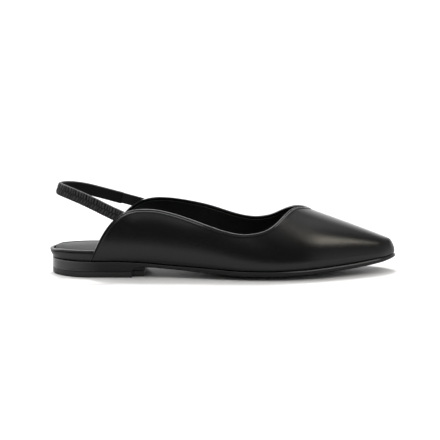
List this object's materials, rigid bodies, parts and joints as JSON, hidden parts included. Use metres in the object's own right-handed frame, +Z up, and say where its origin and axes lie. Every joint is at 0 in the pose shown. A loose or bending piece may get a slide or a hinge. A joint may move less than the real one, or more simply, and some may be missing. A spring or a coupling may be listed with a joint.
{
  "type": "slingback shoe",
  "caption": "Flat pointed slingback shoe for the right foot: low leather upper with a V throat, gathered elastic heel strap, low block heel and padded footbed.",
  "frame": {"origin": "on the floor, under the middle of the shoe's length and width", "axes": "+X to the toe, +Y to the inner side of the foot, +Z up"},
  "size_m": [0.27, 0.0742, 0.0712],
  "materials": {
    "lift_rubber": "matt black rubber",
    "heel_block": "stacked heel, painted satin black",
    "sole": "black dyed sole with polished edge",
    "insole_leather": "smooth black leather wrap",
    "sock_leather": "smooth black leather",
    "upper_leather": "smooth semi-gloss black leather",
    "strap_elastic": "gathered black elastic with a leather face",
    "tab_leather": "smooth black leather"
  },
  "bodies": {
    "root": {"top_lift": "lift_rubber", "heel": "heel_block", "outsole": "sole", "insole": "insole_leather", "sock": "sock_leather", "upper": "upper_leather", "strap": "strap_elastic", "strap_tab": "tab_leather"}
  },
  "joints": []
}
